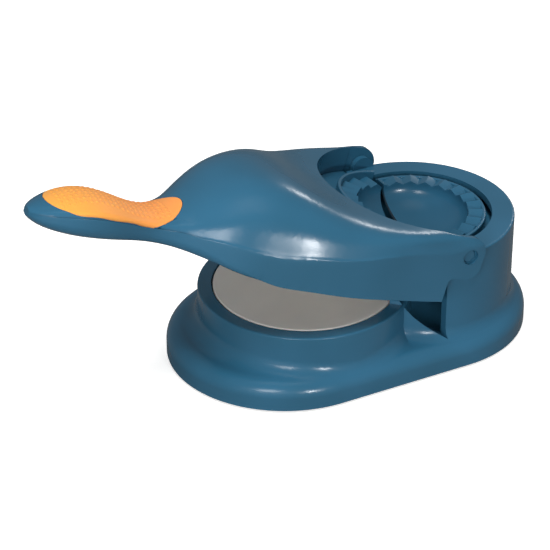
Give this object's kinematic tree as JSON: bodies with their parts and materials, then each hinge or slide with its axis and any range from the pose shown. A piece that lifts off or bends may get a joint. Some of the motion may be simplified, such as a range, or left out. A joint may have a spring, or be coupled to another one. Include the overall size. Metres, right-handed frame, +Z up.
{
  "type": "pierogi mold",
  "caption": "Hand-lever pierogi maker: hinged lid with a grip handle, dough press plates in front and a folding crimp mould over a round well behind.",
  "frame": {"origin": "on the table, in the middle under the part at its rest pose, which is under the centre of the base's round front end", "axes": "+X from the handle to the mould well, +Y across along the hinge, +Z up"},
  "size_m": [0.262, 0.1164, 0.1159],
  "materials": {
    "blue_plastic": "smooth gloss",
    "white_plate": "satin",
    "orange_grip": "soft matt",
    "grey_rubber": "matt",
    "screw_steel": "zinc plated"
  },
  "bodies": {
    "base": {"base_shell": "blue_plastic", "base_cover": "blue_plastic", "base_screws": "screw_steel", "anti_slip_feet": "grey_rubber", "lower_press_plate": "white_plate", "rear_mold_leaf": "blue_plastic", "hinge_pin_left": "blue_plastic", "hinge_pin_right": "blue_plastic"},
    "lid": {"lid_shell": "blue_plastic", "lid_inner_cover": "blue_plastic", "lid_screws": "screw_steel", "upper_press_plate": "white_plate", "press_plate_screws": "screw_steel", "front_mold_leaf": "blue_plastic", "handle_grip": "orange_grip"}
  },
  "joints": [
    {"name": "lid_hinge", "type": "hinge", "parent": "base", "child": "lid", "pos_m": [0.0716, 0, 0.0599], "axis": [0, 1, 0], "range_deg": [-17.6, 158.4]}
  ]
}
